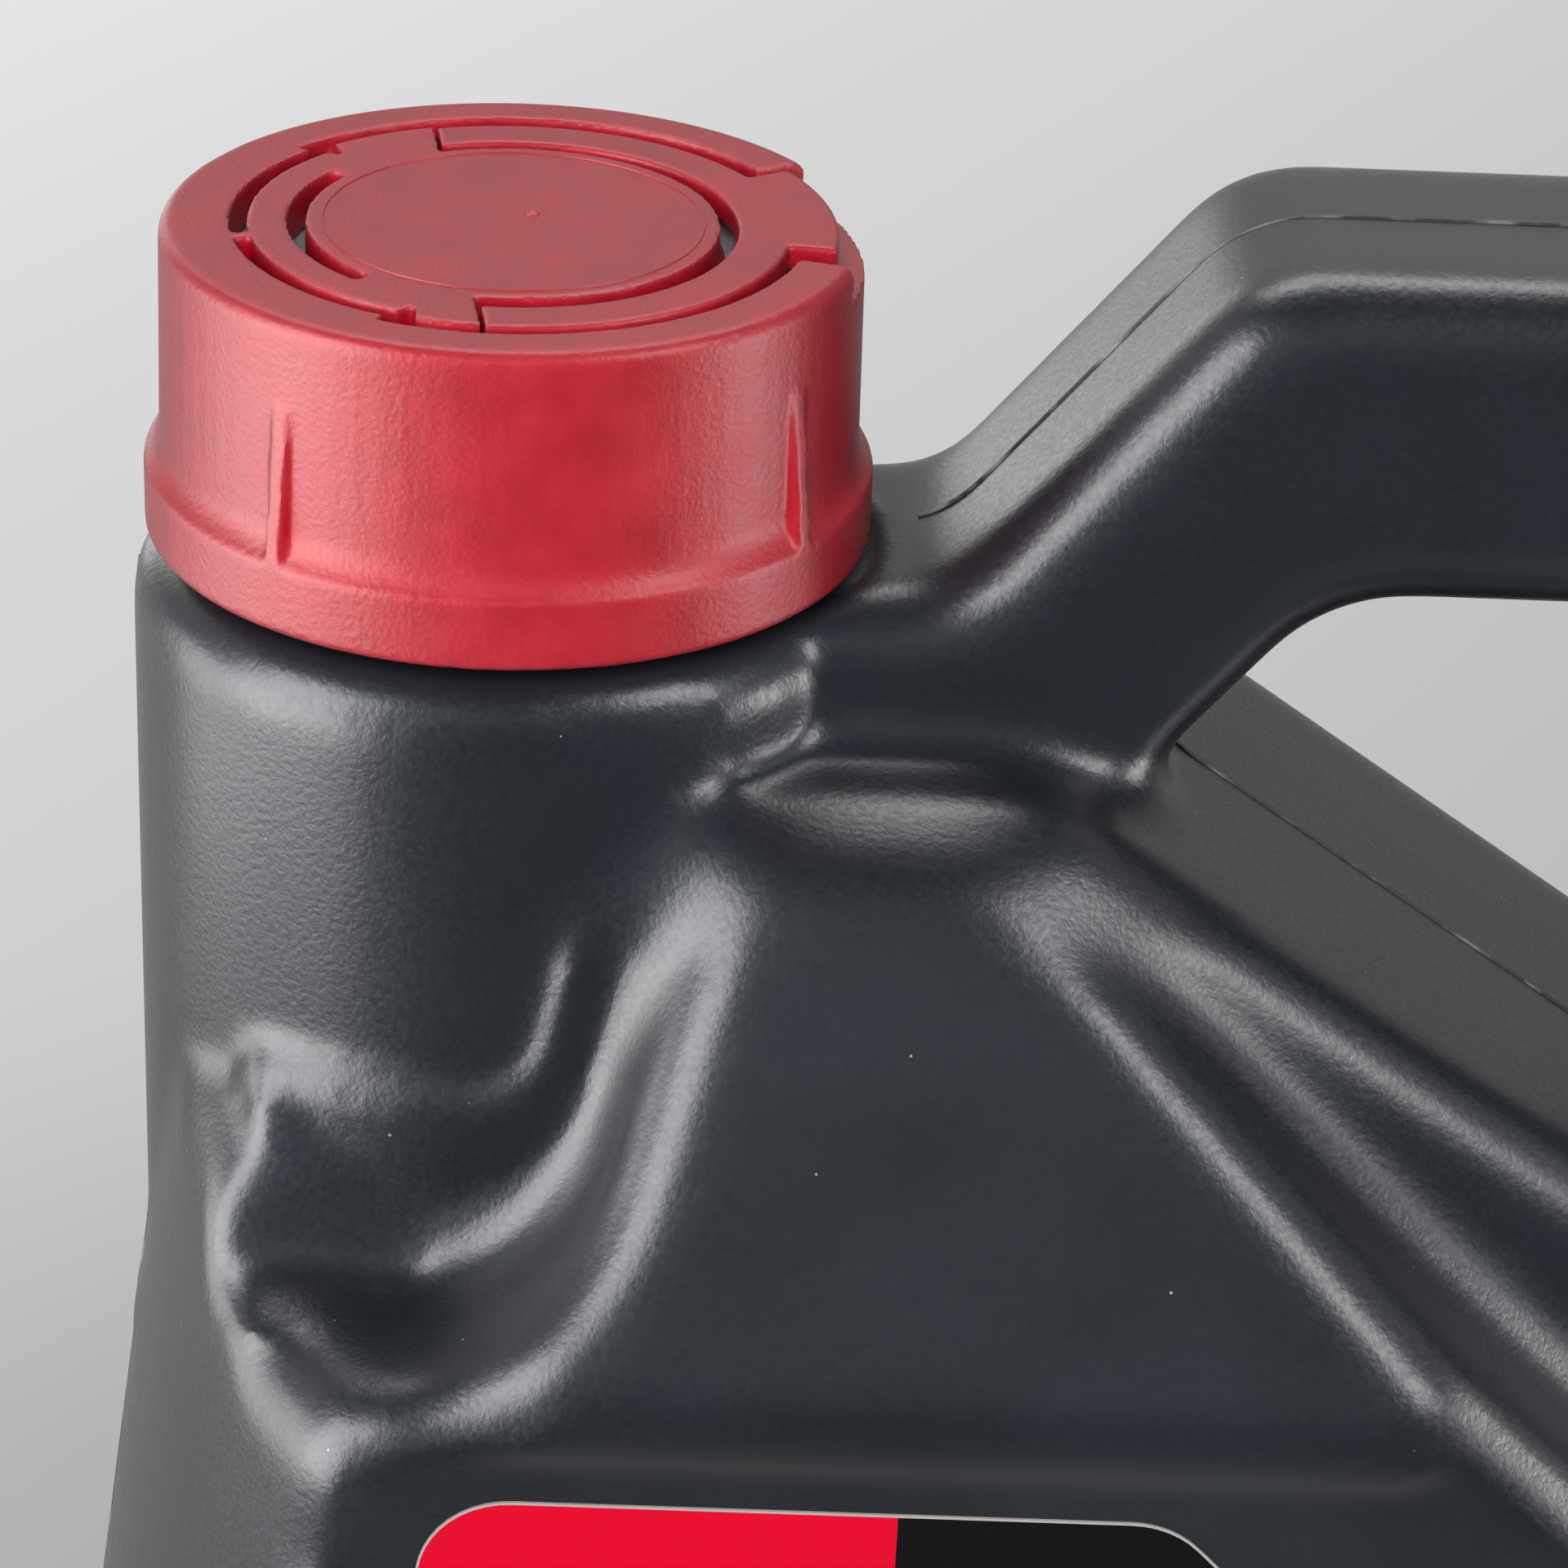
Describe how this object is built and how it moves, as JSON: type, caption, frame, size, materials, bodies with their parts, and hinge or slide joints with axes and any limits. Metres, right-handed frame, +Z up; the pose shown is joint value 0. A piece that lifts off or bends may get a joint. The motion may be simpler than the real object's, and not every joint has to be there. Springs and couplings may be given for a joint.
{
  "type": "motor oil bottle",
  "caption": "Blow-moulded oil can with a through handle and an offset neck, closed by a screw cap whose pull ring hinges up from its top.",
  "frame": {"origin": "middle of the base, on the floor", "axes": "+Z up, -Y towards the front label, +X from the neck towards the handle"},
  "size_m": [0.19, 0.114, 0.31],
  "materials": {
    "bottle_plastic": "dark slate blow-moulded polyethylene with a fine grain and a satin sheen",
    "cap_plastic": "red moulded polyethylene, lightly frosted",
    "label_film": "printed film label, red and black, without text",
    "liner_foam": "light grey foamed sealing wad"
  },
  "bodies": {
    "bottle": {"bottle": "bottle_plastic", "front_label": "label_film"},
    "cap_liner": {"cap_liner": "liner_foam"},
    "cap": {"cap": "cap_plastic"},
    "pull_ring": {"pull_ring": "cap_plastic"}
  },
  "joints": [
    {"name": "cap_lift", "type": "slide", "parent": "bottle", "child": "cap_liner", "axis": [0, 0, 1], "range_m": [0, 0.00901]},
    {"name": "cap_turn", "type": "hinge", "parent": "cap_liner", "child": "cap", "pos_m": [-0.05, 0, 0.28], "axis": [0, 0, 1], "range_deg": [0, 540]},
    {"name": "pull_ring_lift", "type": "hinge", "parent": "cap", "child": "pull_ring", "pos_m": [-0.05445, -0.00067, 0.3069], "axis": [0.1478, -0.989, 0], "range_deg": [0, 100]}
  ],
  "couplings": [
    {"joint": "cap_lift", "follows": "cap_turn", "m_per_rad": 0.00095493}
  ]
}
